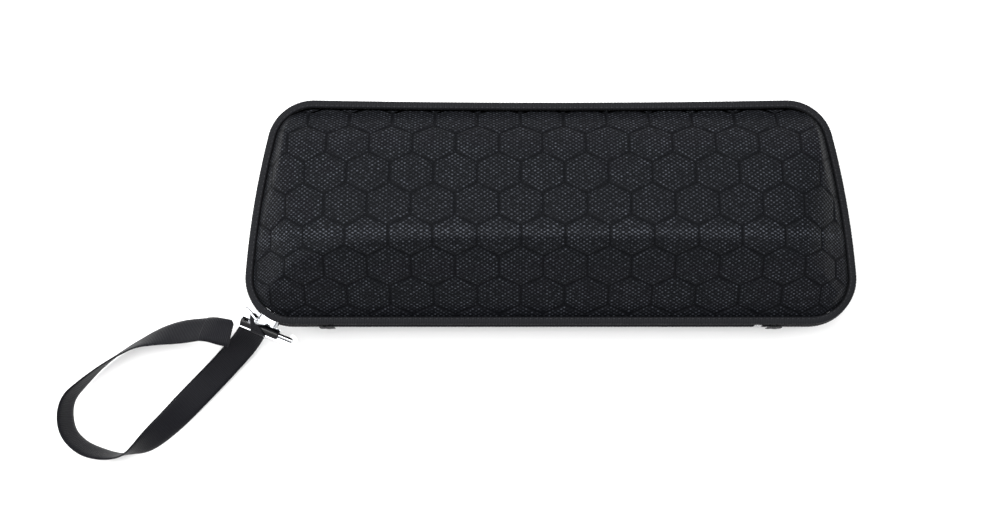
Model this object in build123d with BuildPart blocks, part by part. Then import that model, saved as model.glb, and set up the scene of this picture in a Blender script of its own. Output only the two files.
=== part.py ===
"""Zipped hard-shell paddle case: a gabled lid and a flat base, joined along the front by a fabric spine
and closed round the other sides by a zip, with a spring clip and a webbing wrist strap on the zip's pull.

Millimetres, +Z up, X along the case, -Y at the spine. The origin is the middle of the case's footprint.
"""

import math
import os

from build123d import *

os.makedirs("parts", exist_ok=True)

# Plan outline of the zip band, the widest part of the case
front_half = 153.0  # half length at the front edge, before its corners are rounded
middle_half = 149.1  # half length at mid depth
back_half = 137.2  # half length at the back edge
half_depth = 57.5
back_bow = 1.6  # how far the middle of the back edge sags inwards
corner_radius = 24.0

# Heights
zip_z = 32.0  # the plane where the two halves part
half_gap = 4.7  # from the zip plane to each rim
lid_top = 72.0
parting = 0.15  # each half stops this far short of the zip plane

# Wall build-up
wall_inset = 4.6  # from the band's outline to the outside of the shells
fabric = 0.8
foam = 3.2
lining = 0.6

# Lid gable in the depth direction: (distance from the middle of the case, height over the lid's rim)
front_foot = half_depth - wall_inset
below_rim = -12.0  # the profiles run on down past the rim, where the form is cut off
gable = [
    (-front_foot, below_rim),
    (-front_foot, 1.5),
    (-front_foot + 4.0, 7.5),
    (-18.0, 34.5),
    (-14.0, 35.3),
    (29.0, 18.5),
    (44.0, 9.5),
    (front_foot, 1.5),
    (front_foot, below_rim),
]
# Lid crown along its length: (inset from the shell's end, height over the lid's rim)
crown = [(0.0, below_rim), (0.0, 1.5), (4.0, 9.0), (20.0, 23.0), (45.0, 31.0), (75.0, 34.6), (100.0, 35.3)]

# Zip
coil_radius = 1.3
tape_inset = 2.8
tape_thickness = 0.7
zip_end = 110.0  # the zip runs from here, round the back, to the same place on the other side
binding_height = 3.0
binding_inset = 0.7

# Slider, on the front left corner
corner_centre = (-128.6, -33.5)
slider_angle = 241.0  # where the slider stands round the corner, from +X
slider_length = 10.0
slider_height = 8.2
plate = 1.2
post = (2.0, 3.0)  # the post that parts the coils: along the zip, and its height
link_pivot_angle = 230.5
link_pivot_radius = 27.2
link_angle = 129.0  # the link's direction from its pivot, lying back against the zip
link_length = 9.5
link_height = 6.6
link_wire = 1.2
running = 0.3  # clearance between pieces that move on each other

# Clip: a barrel with a sprung bolt over a hooked frame
clip_centre = (-144.5, -57.6)
clip_angle = -22.0
barrel_z = 23.6
barrel_radius = 2.6
barrel_bore = 1.6
barrel_left = -11.5
barrel_right = 8.8
ring_left = -15.9
ring_right = 18.6
ring_width = 5.8
ring_wire = 1.5
gate_gap = 6.2
bolt_end = 16.2
bolt_radius = 1.25
bolt_left = -4.6
bolt_travel = 5.0

# Wrist strap: webbing of the same cross section as this round cord, laid as a loop
strap_diameter = 4.6
strap_route = [
    (-172.7, -57.4, 21.8),
    (-186.0, -58.0, 15.0),
    (-199.0, -60.0, 11.0),
    (-210.0, -63.5, 8.6),
    (-220.5, -69.5, 7.8),
    (-230.0, -76.5, 7.5),
    (-238.0, -84.0, 7.4),
    (-244.5, -90.5, 7.2),
    (-246.5, -99.0, 7.0),
    (-244.5, -109.0, 6.9),
    (-237.5, -116.0, 6.9),
    (-230.0, -119.0, 6.9),
    (-222.0, -120.5, 6.9),
    (-215.5, -120.0, 6.9),
    (-208.5, -116.5, 6.7),
    (-202.0, -111.5, 5.4),
    (-192.5, -102.5, 4.0),
    (-182.0, -91.0, 2.7),
    (-170.5, -79.0, 2.6),
    (-160.5, -68.0, 3.4),
    (-154.5, -62.0, 8.0),
    (-151.0, -58.0, 14.0),
]


def circle_through(a, b, c):
    """The centre and the radius of the circle through three points."""
    arc = ThreePointArc(a, b, c)
    return arc.arc_center, arc.radius


side_centre, side_radius = circle_through(
    (front_half, -half_depth), (middle_half, 0), (back_half, half_depth)
)
back_centre, back_radius = circle_through(
    (back_half, half_depth), (0, half_depth - back_bow), (-back_half, half_depth)
)


def outline(inset):
    """The zip band's plan outline, moved inwards: straight in front, bowed out at the sides and in at the back."""
    with BuildSketch() as plan:
        Rectangle(3 * front_half, 2 * (half_depth - inset))
        for centre_x in (side_centre.X, -side_centre.X):
            with Locations((centre_x, side_centre.Y)):
                Circle(side_radius - inset, mode=Mode.INTERSECT)
        with Locations((0, back_centre.Y)):
            Circle(back_radius + inset, mode=Mode.SUBTRACT)
        fillet(plan.vertices(), corner_radius - inset)
    return plan.sketch


def band(outer, inner, low, high):
    """A wall that follows the outline between two insets and two heights."""
    with BuildPart() as ring:
        with BuildSketch(Plane.XY.offset(low)):
            add(outline(outer))
            add(outline(inner), mode=Mode.SUBTRACT)
        extrude(amount=high - low)
    return ring.part


def front_block(low, high, half_width=zip_end):
    """The space over the front edge, between the two ends of the zip."""
    with BuildPart() as block:
        with Locations((0, -half_depth, (low + high) / 2)):
            Box(2 * half_width, 24, high - low)
    return block.part


def lid_form(skin):
    """The lid's solid form, with every face moved in by skin."""
    rim_z = zip_z + half_gap
    half_length = front_half - wall_inset
    right = [(half_length - inset, rim_z + height) for inset, height in crown]
    left = [(-x, z) for x, z in reversed(right)]
    with BuildPart() as form:
        with BuildSketch(Plane.XY.offset(rim_z)):
            add(outline(wall_inset + skin))
        extrude(amount=lid_top)
        with BuildSketch(Plane.YZ.offset(-front_half)):
            with BuildLine():
                Polyline([(y, rim_z + z) for y, z in gable], close=True)
            make_face()
            if skin:
                offset(amount=-skin, kind=Kind.INTERSECTION)
        extrude(amount=2 * front_half, mode=Mode.INTERSECT)
        with BuildSketch(Plane.XZ.offset(-half_depth)):
            with BuildLine():
                Polyline(right + left, close=True)
            make_face()
            if skin:
                offset(amount=-skin, kind=Kind.INTERSECTION)
        extrude(amount=2 * half_depth, mode=Mode.INTERSECT)
    return form.part


def base_form(skin):
    """The base's solid form, a tray with leaning walls and a rounded floor edge."""
    rim_z = zip_z - half_gap
    with BuildPart() as form:
        with BuildSketch(Plane.XY.offset(rim_z)):
            add(outline(wall_inset + skin))
        extrude(amount=-(rim_z - skin), taper=7)
        fillet(form.faces().sort_by(Axis.Z)[0].edges(), 8 - skin)
    return form.part


def layer(form, outer, inner):
    """One layer of a shell, between two depths below its outside."""
    with BuildPart() as shell:
        add(form(outer))
        add(form(inner), mode=Mode.SUBTRACT)
    return shell.part


# Lid: printed fabric outside, moulded foam, lining
lid_layers = [
    ("lid_fabric", 0.0, fabric),
    ("lid_shell", fabric, fabric + foam),
    ("lid_lining", fabric + foam, fabric + foam + lining),
]
for node, outer, inner in lid_layers:
    piece = layer(lid_form, outer, inner)
    piece.label = node
    export_step(piece, f"parts/{node}.step")

# Base: the same three layers
base_layers = [
    ("base_fabric", 0.0, fabric),
    ("base_shell", fabric, fabric + foam),
    ("base_lining", fabric + foam, fabric + foam + lining),
]
for node, outer, inner in base_layers:
    piece = layer(base_form, outer, inner)
    piece.label = node
    export_step(piece, f"parts/{node}.step")

# Piped bindings over the raw edge of each half, rounded outside
for node, low in (
    ("lid_rim_binding", zip_z + half_gap),
    ("base_rim_binding", zip_z - half_gap - binding_height),
):
    with BuildPart() as binding:
        add(band(binding_inset, wall_inset - 0.05, low, low + binding_height))
        edges = [
            edge
            for face in binding.faces().filter_by(Axis.Z)
            for edge in face.outer_wire().edges()
        ]
        fillet(edges, 1.1)
    binding.part.label = node
    export_step(binding.part, f"parts/{node}.step")

# Fabric hinge along the front edge, outside and inside
spine_low = zip_z - half_gap
spine_high = zip_z + half_gap
for node, near, far in (
    ("spine_strip", tape_inset - 0.6, tape_inset + 0.6),
    ("inner_gusset", wall_inset + 0.1, wall_inset + 0.7),
):
    with BuildPart() as strip:
        add(band(near, far, spine_low, spine_high))
        add(front_block(spine_low, spine_high, zip_end - 0.3), mode=Mode.INTERSECT)
    strip.part.label = node
    export_step(strip.part, f"parts/{node}.step")

# Folded fabric tabs over the two ends of the zip
for node, x in (("zip_end_tab_left", -zip_end - 1.0), ("zip_end_tab_right", zip_end + 1.0)):
    with BuildPart() as tab:
        with Locations((x, -half_depth - 0.35, zip_z)):
            Box(8, 0.9, 8.6)
        fillet(tab.edges().filter_by(Axis.Y), 1.5)
    tab.part.label = node
    export_step(tab.part, f"parts/{node}.step")

# Metal stop crimped beside the right tab, where the zip starts
with BuildPart() as stop:
    with Locations((zip_end - 7.0, -half_depth + 1.2, zip_z)):
        Box(4.0, 1.4, 5.0)
    fillet(stop.edges().filter_by(Axis.Y), 0.6)
stop.part.label = "zip_stop"
export_step(stop.part, "parts/zip_stop.step")

# Inside the lid: a mesh pocket over its front half, with an elastic hem along its open edge
pocket_z = zip_z + half_gap + 1.0
pocket_edge = 6.0  # the hem's place in the depth direction
pocket_inset = wall_inset + fabric + foam + lining + 1.2
hem_width = 8.0
with BuildPart() as pocket:
    with BuildSketch(Plane.XY.offset(pocket_z)):
        add(outline(pocket_inset))
        with Locations((0, pocket_edge + half_depth)):
            Rectangle(3 * front_half, 2 * half_depth, mode=Mode.SUBTRACT)
    extrude(amount=0.8)
pocket.part.label = "mesh_pocket"
export_step(pocket.part, "parts/mesh_pocket.step")

with BuildPart() as hem:
    with BuildSketch(Plane.XY.offset(pocket_z - 0.8)):
        add(outline(pocket_inset))
        with Locations((0, pocket_edge - hem_width / 2)):
            Rectangle(3 * front_half, hem_width, mode=Mode.INTERSECT)
    extrude(amount=0.8)
hem.part.label = "pocket_hem"
export_step(hem.part, "parts/pocket_hem.step")

# Inside the base: an elastic band across the tray, sewn down to the lining by a patch at each end
tray_floor = fabric + foam + lining
retainer_x = 62.0
retainer_width = 25.0
retainer_reach = 34.0
with BuildPart() as retainer:
    with BuildSketch(Plane.YZ.offset(retainer_x - retainer_width / 2)):
        with BuildLine():
            Polyline(
                (-retainer_reach - 8, tray_floor),
                (-retainer_reach, tray_floor),
                (-retainer_reach + 6, tray_floor + 9.5),
                (retainer_reach - 6, tray_floor + 9.5),
                (retainer_reach, tray_floor),
                (retainer_reach + 8, tray_floor),
                (retainer_reach + 8, tray_floor + 1.2),
                (retainer_reach + 0.8, tray_floor + 1.2),
                (retainer_reach - 5.3, tray_floor + 10.7),
                (-retainer_reach + 5.3, tray_floor + 10.7),
                (-retainer_reach - 0.8, tray_floor + 1.2),
                (-retainer_reach - 8, tray_floor + 1.2),
                close=True,
            )
        make_face()
    extrude(amount=retainer_width)
retainer.part.label = "paddle_retainer"
export_step(retainer.part, "parts/paddle_retainer.step")

for node, side in (("retainer_patch_front", -1), ("retainer_patch_back", 1)):
    with BuildPart() as patch:
        with BuildSketch(Plane.XY.offset(tray_floor + 1.2)):
            with Locations((retainer_x, side * (retainer_reach + 5))):
                RectangleRounded(retainer_width + 6, 6, 1.5)
        extrude(amount=0.8)
    patch.part.label = node
    export_step(patch.part, f"parts/{node}.step")


def round_corner(angle, radius, z=zip_z):
    """A plane at an angle round the front left corner: its X is outwards, its Z is up."""
    direction = (math.cos(math.radians(angle)), math.sin(math.radians(angle)), 0)
    origin = (
        corner_centre[0] + radius * direction[0],
        corner_centre[1] + radius * direction[1],
        z,
    )
    return Plane(origin=origin, x_dir=direction, z_dir=(0, 0, 1))


def corner_ring(inner, outer, height):
    """A ring about the front left corner's centre, level with the zip."""
    with BuildPart() as ring:
        with BuildSketch(Plane.XY.offset(zip_z - height / 2)):
            with Locations(corner_centre):
                Circle(outer)
                Circle(inner, mode=Mode.SUBTRACT)
        extrude(amount=height)
    return ring.part


# Slider body: two plates joined by a post that parts the coils, with flanges above and below them
tape_near = corner_radius - tape_inset - tape_thickness
slider_inner = tape_near - running - plate
slider_outer = corner_radius + running + plate
slider_plane = round_corner(slider_angle, (slider_inner + slider_outer) / 2)
post_angle = slider_angle + 7.5
with BuildPart() as slider_body:
    with BuildSketch(slider_plane.offset(-slider_height / 2)):
        Rectangle(slider_outer - slider_inner, slider_length)
    extrude(amount=slider_height)
    outward_edges = slider_body.edges().filter_by(Axis(slider_plane.origin, slider_plane.x_dir))
    fillet(outward_edges, 1.8)
    add(
        corner_ring(corner_radius - tape_inset - running, corner_radius + running, 2 * coil_radius + 0.9),
        mode=Mode.SUBTRACT,
    )
    add(
        corner_ring(tape_near - running, corner_radius - tape_inset + running, slider_height + 2),
        mode=Mode.SUBTRACT,
    )
    with BuildSketch(round_corner(post_angle, (slider_inner + slider_outer) / 2).offset(-post[1] / 2)):
        Rectangle(slider_outer - slider_inner - 1, post[0])
    extrude(amount=post[1])
slider_body.part.label = "slider_body"
export_step(slider_body.part, "parts/slider_body.step")

# Crown: the bridge on the slider's outer plate, with an eye for the pull's link
crown_inner = slider_outer
crown_outer = link_pivot_radius + 1.6
crown_height = 3.0
with BuildPart() as slider_crown:
    with BuildSketch(round_corner(slider_angle, (crown_inner + crown_outer) / 2).offset(-crown_height / 2)):
        with Locations((0, -0.6)):
            RectangleRounded(crown_outer - crown_inner, slider_length - 0.8, 1.2)
    extrude(amount=crown_height)
    with BuildSketch(round_corner(link_pivot_angle, link_pivot_radius).offset(-crown_height)):
        Circle(link_wire / 2 + running)
    extrude(amount=2 * crown_height, mode=Mode.SUBTRACT)
slider_crown.part.label = "slider_crown"
export_step(slider_crown.part, "parts/slider_crown.step")

# Zip tapes, each with a row of coil along its edge, spread round the slider's post
for half, side in (("lid", 1), ("base", -1)):
    rows = [
        ("zip_tape", tape_inset, tape_inset + tape_thickness, half_gap),
        ("zip_coil", tape_inset - 2 * coil_radius, tape_inset, parting + coil_radius),
    ]
    for name, near, far, reach in rows:
        low, high = sorted((zip_z + side * parting, zip_z + side * reach))
        with BuildPart() as row:
            add(band(near, far, low, high))
            add(front_block(low, high), mode=Mode.SUBTRACT)
            with BuildSketch(round_corner(post_angle, corner_radius).offset(-post[1] / 2 - running)):
                Rectangle(20, post[0] + 2 * running)
            extrude(amount=post[1] + 2 * running, mode=Mode.SUBTRACT)
        row.part.label = f"{half}_{name}"
        export_step(row.part, f"parts/{half}_{name}.step")

# Pull link: a flat ring, pivoted in the crown's eye and lying back against the zip
pivot = round_corner(link_pivot_angle, link_pivot_radius).origin
link_direction = Vector(math.cos(math.radians(link_angle)), math.sin(math.radians(link_angle)), 0)
link_plane = Plane(origin=pivot, x_dir=link_direction, z_dir=link_direction.cross(Vector(0, 0, 1)))
with BuildPart() as pull_link:
    with BuildSketch(link_plane.offset(-link_wire / 2)):
        with Locations((link_length / 2 - link_wire / 2, 0)):
            RectangleRounded(link_length, link_height, 1.4)
            RectangleRounded(link_length - 2 * link_wire, link_height - 2 * link_wire, 0.5, mode=Mode.SUBTRACT)
    extrude(amount=link_wire)
    fillet(pull_link.edges(), 0.35)
pull_link.part.label = "pull_link"
export_step(pull_link.part, "parts/pull_link.step")

# Clip, in its own plane: X along the barrel, Y up
along = Vector(math.cos(math.radians(clip_angle)), math.sin(math.radians(clip_angle)), 0)
across = Vector(0, 0, 1).cross(along)
clip_plane = Plane(
    origin=(clip_centre[0], clip_centre[1], barrel_z),
    x_dir=along,
    z_dir=across * -1,
)
barrel_end_plane = Plane(origin=clip_plane.origin, x_dir=across, z_dir=along)


def clip_rod(start, end, radius):
    """A round rod on the barrel's axis."""
    with BuildPart() as rod:
        with BuildSketch(barrel_end_plane.offset(start)):
            Circle(radius)
        extrude(amount=end - start)
    return rod.part


# Frame: one flat ring of thick wire through the barrel, open at the gate that the bolt closes
with BuildPart() as clip_frame:
    with BuildSketch(Plane(origin=clip_plane.origin, x_dir=along, z_dir=(0, 0, 1)).offset(-ring_wire / 2)):
        with Locations(((ring_left + ring_right) / 2, 0)):
            SlotOverall(ring_right - ring_left, ring_width)
            SlotOverall(ring_right - ring_left - 2 * ring_wire, ring_width - 2 * ring_wire, mode=Mode.SUBTRACT)
        with Locations((barrel_right + gate_gap / 2, ring_width / 2)):
            Rectangle(gate_gap, ring_width - 1, mode=Mode.SUBTRACT)
    extrude(amount=ring_wire)
    add(clip_rod(barrel_left, barrel_right, barrel_radius), mode=Mode.SUBTRACT)
clip_frame.part.label = "clip_frame"
export_step(clip_frame.part, "parts/clip_frame.step")

# Barrel: a black tube with a slot for the thumb piece
slot_angle = 30.0  # the thumb piece leans this far back from straight up
thumb_plane = Plane(
    origin=clip_plane.origin,
    x_dir=along,
    z_dir=(Vector(0, 0, 1) * math.cos(math.radians(slot_angle)) + across * math.sin(math.radians(slot_angle))),
)
stem_width = 1.2
with BuildPart() as clip_barrel:
    add(clip_rod(barrel_left, barrel_right, barrel_radius))
    fillet(clip_barrel.edges(), 0.5)
    add(clip_rod(barrel_left + 1.0, barrel_right + 1, barrel_bore), mode=Mode.SUBTRACT)
    with BuildSketch(thumb_plane):
        with Locations(((bolt_left - bolt_travel + bolt_left + 2.0) / 2, 0)):
            Rectangle(bolt_travel + 2.0 + 2 * running, stem_width + 2 * running)
    extrude(amount=2 * barrel_radius, mode=Mode.SUBTRACT)
clip_barrel.part.label = "clip_barrel"
export_step(clip_barrel.part, "parts/clip_barrel.step")

# Bolt with its stem and knurled thumb piece
thumb = (5.0, 3.2, 1.0)
with BuildPart() as clip_bolt:
    add(clip_rod(bolt_left, bolt_end, bolt_radius))
    with BuildSketch(thumb_plane):
        with Locations((bolt_left + 1.0, 0)):
            Rectangle(2.0, stem_width)
    extrude(amount=barrel_radius + running + 0.2)
    with BuildSketch(thumb_plane.offset(barrel_radius + running)):
        with Locations((bolt_left - 0.5, 0)):
            Rectangle(thumb[0], thumb[1])
            with GridLocations(0.9, 0, 5, 1):
                Rectangle(0.25, thumb[1], mode=Mode.SUBTRACT)
    extrude(amount=thumb[2])
    with BuildSketch(thumb_plane.offset(barrel_radius + running)):
        with Locations((bolt_left - 0.5, 0)):
            Rectangle(thumb[0], thumb[1])
    extrude(amount=thumb[2] - 0.3)
clip_bolt.part.label = "clip_bolt"
export_step(clip_bolt.part, "parts/clip_bolt.step")

# Spring behind the bolt
with BuildPart() as bolt_spring:
    add(clip_rod(barrel_left + 1.0, bolt_left, 1.2))
    add(clip_rod(barrel_left + 0.9, bolt_left + 0.1, 0.8), mode=Mode.SUBTRACT)
bolt_spring.part.label = "bolt_spring"
export_step(bolt_spring.part, "parts/bolt_spring.step")

# Cord loop that ties the link to the clip's barrel
cord_radius = 0.7
loop_reach = 4.0  # how far out along the link the pull loop starts
loop_start_z = 29.7
loop_lean = 0.3  # how much of the loop's plane faces up; the rest faces along the barrel
loop_from = pivot + link_direction * loop_reach + Vector(0, 0, loop_start_z - zip_z)
loop_to = Vector(clip_centre[0], clip_centre[1], barrel_z) - along
loop_axis = loop_to - loop_from
loop_normal = along * (1 - loop_lean) + Vector(0, 0, loop_lean)
loop_normal = (loop_normal - loop_axis * (loop_normal.dot(loop_axis) / loop_axis.dot(loop_axis))).normalized()
loop_plane = Plane(origin=(loop_from + loop_to) / 2, x_dir=loop_axis, z_dir=loop_normal)
link_bend = 1.2  # the loop's inner radius round the link
barrel_bend = 4.9  # and round the barrel
with BuildPart() as pull_cord:
    for grow, mode in ((2 * cord_radius, Mode.ADD), (0, Mode.SUBTRACT)):
        with BuildSketch(loop_plane.offset(-cord_radius)) as loop:
            with Locations((-loop_axis.length / 2, 0)):
                Circle(link_bend + grow)
            with Locations((loop_axis.length / 2, 0)):
                Circle(barrel_bend + grow)
            make_hull(loop.edges())
        extrude(amount=2 * cord_radius, mode=mode)
    fillet(pull_cord.edges(), cord_radius * 0.5)
pull_cord.part.label = "pull_cord"
export_step(pull_cord.part, "parts/pull_cord.step")

# Strap: one round cord that leaves the clip's eye and comes back to it
runs = [(Vector(*b) - Vector(*a)).length for a, b in zip(strap_route, strap_route[1:])]
radii = []
for i in range(1, len(strap_route) - 1):
    before = Vector(*strap_route[i]) - Vector(*strap_route[i - 1])
    after = Vector(*strap_route[i + 1]) - Vector(*strap_route[i])
    turn = math.radians(before.get_angle(after))
    radii.append(0.45 * min(runs[i - 1], runs[i]) / math.tan(turn / 2))
with BuildPart() as wrist_strap:
    with BuildLine() as route:
        FilletPolyline(*strap_route, radius=radii)
    path = route.wires()[0]
    with BuildSketch(Plane(origin=path @ 0, z_dir=path % 0)):
        Circle(strap_diameter / 2)
    sweep(path=path)
wrist_strap.part.label = "wrist_strap"
export_step(wrist_strap.part, "parts/wrist_strap.step")
section = math.pi * strap_diameter**2 / 4
print("strap radii", [round(radius, 1) for radius in radii])
print("strap runs", [round(run, 1) for run in runs], "length", round(path.length, 1))
print("strap volume", round(wrist_strap.part.volume, 1), "expected", round(section * path.length, 1))

# Sewn fold of webbing that holds the strap in the eye
fold_length = 10.1
fold_width = 11.0
fold_thickness = 3.2
fold_shift = -4.6  # the fold hangs to the front of the ring's end
loop_width = 2.4
bar_place = clip_plane.origin + along * (ring_left + ring_wire / 2)
with BuildPart() as strap_fold:
    with BuildSketch(clip_plane.offset(-loop_width / 2)):
        with Locations((ring_left + ring_wire / 2, 0)):
            Circle(2.5)
            Circle(1.6, mode=Mode.SUBTRACT)
    extrude(amount=loop_width)
    with BuildSketch(Plane.XY.offset(barrel_z - fold_thickness / 2)):
        with Locations((bar_place.X - 1.9 - fold_length / 2, bar_place.Y + fold_shift)):
            RectangleRounded(fold_length, fold_width, 1.5)
    extrude(amount=fold_thickness)
strap_fold.part.label = "strap_fold"
export_step(strap_fold.part, "parts/strap_fold.step")
print("strap fold ends at", bar_place.X - 1.9 - fold_length, bar_place.Y + fold_shift)
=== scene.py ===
# %% [markdown]
# A zipped hard-shell case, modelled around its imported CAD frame.
# The frame holds the sizes, the bodies and the joints, in metres. Everything below is placed from it.
# The lid is a moulded fabric gable with hexagons pressed into it, so it is made as a fine surface
# whose height is a formula. Bands, tapes and zip teeth follow the case's outline by one shared path.

# %% Load the frame
import math

import bmesh
import bpy
import numpy as np
from mathutils import Matrix, Vector


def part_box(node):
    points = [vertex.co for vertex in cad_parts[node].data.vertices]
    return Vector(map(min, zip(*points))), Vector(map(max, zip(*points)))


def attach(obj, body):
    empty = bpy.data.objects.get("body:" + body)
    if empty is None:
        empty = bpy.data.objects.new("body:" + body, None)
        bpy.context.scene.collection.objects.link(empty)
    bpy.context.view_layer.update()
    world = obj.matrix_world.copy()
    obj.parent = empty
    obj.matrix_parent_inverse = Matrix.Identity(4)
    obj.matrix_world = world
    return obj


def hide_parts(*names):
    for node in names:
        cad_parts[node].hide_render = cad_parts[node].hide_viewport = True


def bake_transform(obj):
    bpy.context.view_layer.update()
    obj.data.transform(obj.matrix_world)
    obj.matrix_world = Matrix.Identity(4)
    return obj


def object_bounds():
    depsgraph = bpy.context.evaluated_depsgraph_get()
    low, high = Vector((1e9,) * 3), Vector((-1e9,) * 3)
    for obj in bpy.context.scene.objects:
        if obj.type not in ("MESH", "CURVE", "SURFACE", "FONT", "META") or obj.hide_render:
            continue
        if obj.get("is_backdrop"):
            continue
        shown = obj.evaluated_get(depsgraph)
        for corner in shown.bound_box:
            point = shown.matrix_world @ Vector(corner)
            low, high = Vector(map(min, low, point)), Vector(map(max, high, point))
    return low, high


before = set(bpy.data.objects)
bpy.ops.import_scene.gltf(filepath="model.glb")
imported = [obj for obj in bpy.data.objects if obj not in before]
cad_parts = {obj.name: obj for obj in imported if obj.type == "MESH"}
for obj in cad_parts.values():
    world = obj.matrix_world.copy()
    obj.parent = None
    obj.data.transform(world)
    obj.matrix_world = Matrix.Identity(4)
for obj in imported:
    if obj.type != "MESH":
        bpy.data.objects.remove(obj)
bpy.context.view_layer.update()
mm = 0.001

# %% [markdown]
# The camera looks down on the case from its spine side, a little off the vertical, through a normal lens.
# It comes first, because the wrist strap is checked against what the camera sees.

# %% Camera
look_at = Vector((-0.0252, -0.0215, 0.032))
camera_height_angle = math.radians(82.0)
camera_distance = 0.920
camera_data = bpy.data.cameras.new("camera")
camera_data.sensor_width = 36.0
camera_data.lens = 66.2
camera_data.clip_start = 0.01
camera = bpy.data.objects.new("camera", camera_data)
bpy.context.scene.collection.objects.link(camera)
towards = Vector((0, -math.cos(camera_height_angle), math.sin(camera_height_angle)))
camera.location = look_at + towards * camera_distance
camera.rotation_euler = (math.pi / 2 - camera_height_angle, 0, 0)
bpy.context.scene.camera = camera
print("camera", [round(x, 3) for x in camera.location])

# %% [markdown]
# Shader maths reads best as Python, so one small class wraps a node's output socket.
# An operator on it adds a Math node, and Material.node adds any other kind of node.

# %% Shader helper


class Channel:
    """One number that varies over a surface, with arithmetic that builds Math nodes."""

    def __init__(self, tree, socket):
        self.tree = tree
        self.socket = socket

    def maths(self, operation, *others):
        node = self.tree.nodes.new("ShaderNodeMath")
        node.operation = operation
        for place, value in enumerate((self, *others)):
            if isinstance(value, Channel):
                self.tree.links.new(value.socket, node.inputs[place])
            else:
                node.inputs[place].default_value = value
        return Channel(self.tree, node.outputs[0])

    def flipped(self, operation, first):
        node = self.tree.nodes.new("ShaderNodeMath")
        node.operation = operation
        node.inputs[0].default_value = first
        self.tree.links.new(self.socket, node.inputs[1])
        return Channel(self.tree, node.outputs[0])

    def __add__(self, other):
        return self.maths("ADD", other)

    __radd__ = __add__

    def __sub__(self, other):
        return self.maths("SUBTRACT", other)

    def __rsub__(self, other):
        return self.flipped("SUBTRACT", other)

    def __mul__(self, other):
        return self.maths("MULTIPLY", other)

    __rmul__ = __mul__

    def __truediv__(self, other):
        return self.maths("DIVIDE", other)

    def __mod__(self, other):
        return self.maths("FLOORED_MODULO", other)

    def __gt__(self, other):
        return self.maths("GREATER_THAN", other)

    def sine(self):
        return self.maths("SINE")

    def power(self, exponent):
        return self.maths("POWER", exponent)

    def distance(self):
        return self.maths("ABSOLUTE")

    def lower_of(self, other):
        return self.maths("MINIMUM", other)

    def higher_of(self, other):
        return self.maths("MAXIMUM", other)


class Material:
    """A material with a Principled shader and a few ways to add nodes to it."""

    def __init__(self, name, base, roughness, metallic=0.0, specular=0.5, coat=0.0, sheen=0.0):
        self.data = bpy.data.materials.new(name)
        self.data.use_nodes = True
        self.tree = self.data.node_tree
        self.shader = self.tree.nodes["Principled BSDF"]
        self.base = base
        self.shader.inputs["Base Color"].default_value = (*base, 1.0)
        self.shader.inputs["Roughness"].default_value = roughness
        self.shader.inputs["Metallic"].default_value = metallic
        self.shader.inputs["Specular IOR Level"].default_value = specular
        self.shader.inputs["Coat Weight"].default_value = coat
        self.shader.inputs["Sheen Weight"].default_value = sheen
        self.shader.inputs["Sheen Roughness"].default_value = 0.4

    def node(self, kind, settings=None, **values):
        """Adds a node; settings are its own properties, values its sockets by name or, as _0, by place."""
        made = self.tree.nodes.new(kind)
        for key, value in (settings or {}).items():
            setattr(made, key, value)
        for key, value in values.items():
            place = int(key[1:]) if key[0] == "_" else key.replace("_", " ")
            if isinstance(value, Channel):
                self.tree.links.new(value.socket, made.inputs[place])
            elif isinstance(value, bpy.types.NodeSocket):
                self.tree.links.new(value, made.inputs[place])
            else:
                made.inputs[place].default_value = value
        return made

    def place_on_cloth(self):
        """The two distances along the cloth, in millimetres, from the mesh's own cloth map."""
        axes = self.node("ShaderNodeSeparateXYZ", _0=self.node("ShaderNodeUVMap", {"uv_map": "cloth"}).outputs[0])
        return Channel(self.tree, axes.outputs[0]) * 1000.0, Channel(self.tree, axes.outputs[1]) * 1000.0

    def place_in_space(self):
        """The three coordinates in millimetres, fixed to the piece."""
        axes = self.node("ShaderNodeSeparateXYZ", _0=self.node("ShaderNodeTexCoord").outputs["Object"])
        return [Channel(self.tree, axes.outputs[i]) * 1000.0 for i in range(3)]

    def noise(self, size_mm, detail=2.0, where=None):
        """Smooth random values from 0 to 1 with features of about that size."""
        vector = where or self.node("ShaderNodeTexCoord").outputs["Object"]
        made = self.node("ShaderNodeTexNoise", Vector=vector, Scale=1000.0 / size_mm, Detail=detail)
        return Channel(self.tree, made.outputs[0])

    def colour(self, amount, low, high):
        """Base colour from low to high as amount goes from 0 to 1."""
        mix = self.node("ShaderNodeMix", {"data_type": "RGBA"})
        self.tree.links.new(amount.socket, mix.inputs[0])
        mix.inputs[6].default_value = (*low, 1.0)
        mix.inputs[7].default_value = (*high, 1.0)
        self.tree.links.new(mix.outputs[2], self.shader.inputs["Base Color"])

    def rough(self, amount):
        self.tree.links.new(amount.socket, self.shader.inputs["Roughness"])

    def relief(self, height, depth_mm, strength=1.0):
        """A bump from a height that runs from 0 to 1, as deep as depth_mm."""
        bump = self.node("ShaderNodeBump", Strength=strength, Distance=depth_mm * mm, Height=height)
        self.tree.links.new(bump.outputs[0], self.shader.inputs["Normal"])


def ripple(distance, pitch):
    """A wave from 0 to 1 with that pitch."""
    return (distance * (2 * math.pi / pitch)).sine() * 0.5 + 0.5


# %% [markdown]
# Finishes. The outer cloth is a heavy basket weave: small raised cells that catch the light, with brighter glints
# painted on them one by one.
# Its hexagons are pressed into the surface itself, so here the material adds the weave, its painted glints, painted
# shade in the grooves and a painted highlight along the ridge.

# %% Cloth finishes
dot_columns, dot_rows = 2.9, 2.2
# the weave's own dark colour, then the colour of the painted glints
cloth_dark, painted_glint_colour = (0.0022, 0.0025, 0.0034), (0.056, 0.061, 0.073)


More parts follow.
